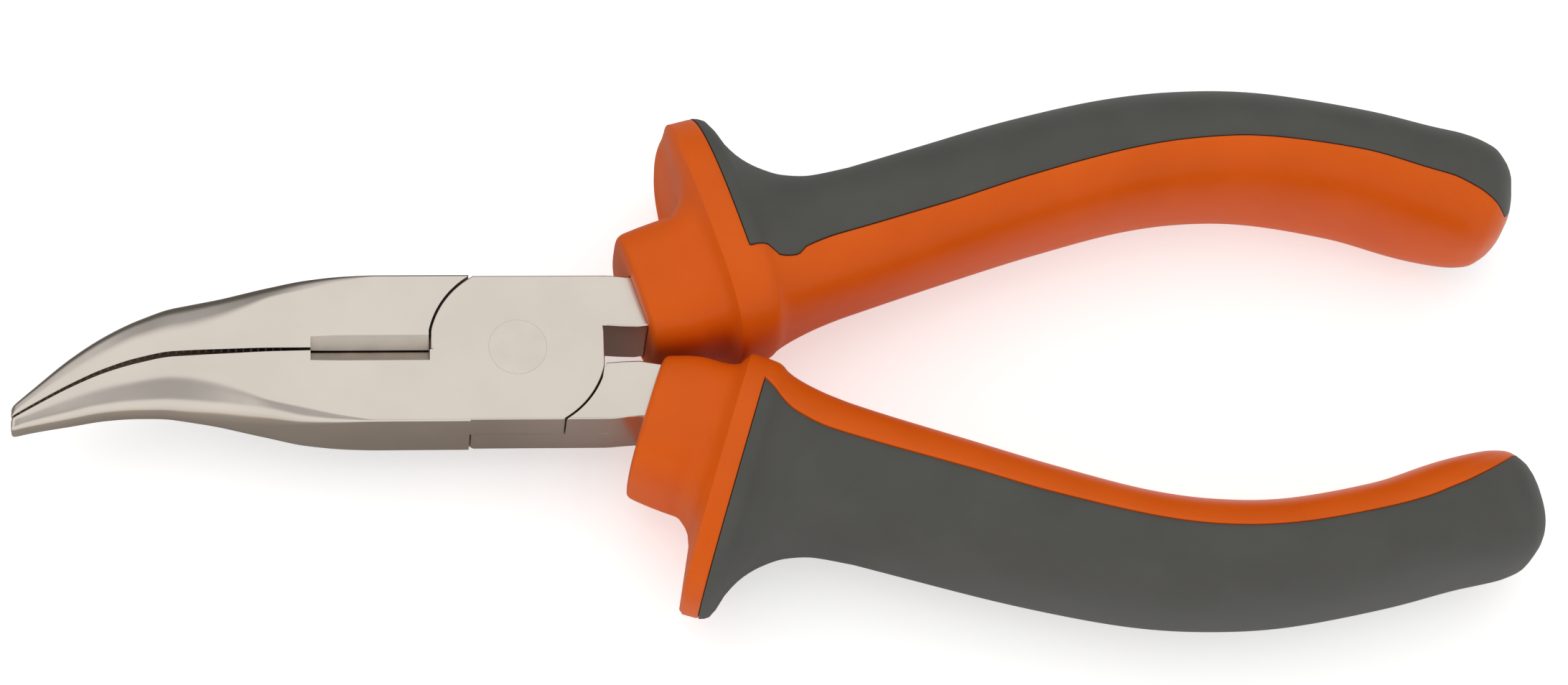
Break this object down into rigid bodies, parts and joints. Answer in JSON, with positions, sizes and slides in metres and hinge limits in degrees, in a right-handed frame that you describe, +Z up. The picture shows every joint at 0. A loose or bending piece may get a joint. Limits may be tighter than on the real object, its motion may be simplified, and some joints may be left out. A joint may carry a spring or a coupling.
{
  "type": "bent needle nose pliers",
  "caption": "Pliers with long tapering bent jaws, a side cutter, a lap joint and two-component grips with finger guards.",
  "frame": {"origin": "under the middle of the tool's length and width, on the surface it lies on", "axes": "+X toward the grips, +Y across the handles toward the upper grip, +Z up through the joint's thickness"},
  "size_m": [0.1595, 0.0588, 0.0204],
  "materials": {
    "front_half": "satin polished, warm silver",
    "back_half": "satin polished, warm silver",
    "pivot_rivet": "ground flush with the joint",
    "upper_grip_core": "smooth orange",
    "upper_grip_overmould": "fine matt grey",
    "lower_grip_core": "smooth orange",
    "lower_grip_overmould": "fine matt grey"
  },
  "bodies": {
    "front_lever": {"front_half": "front_half", "pivot_rivet": "pivot_rivet", "upper_grip_core": "upper_grip_core", "upper_grip_overmould": "upper_grip_overmould"},
    "back_lever": {"back_half": "back_half", "lower_grip_core": "lower_grip_core", "lower_grip_overmould": "lower_grip_overmould"}
  },
  "joints": [
    {"name": "pivot", "type": "hinge", "parent": "front_lever", "child": "back_lever", "pos_m": [-0.02765, 0, 0.01021], "axis": [0, 0, -1], "range_deg": [0, 40]}
  ]
}
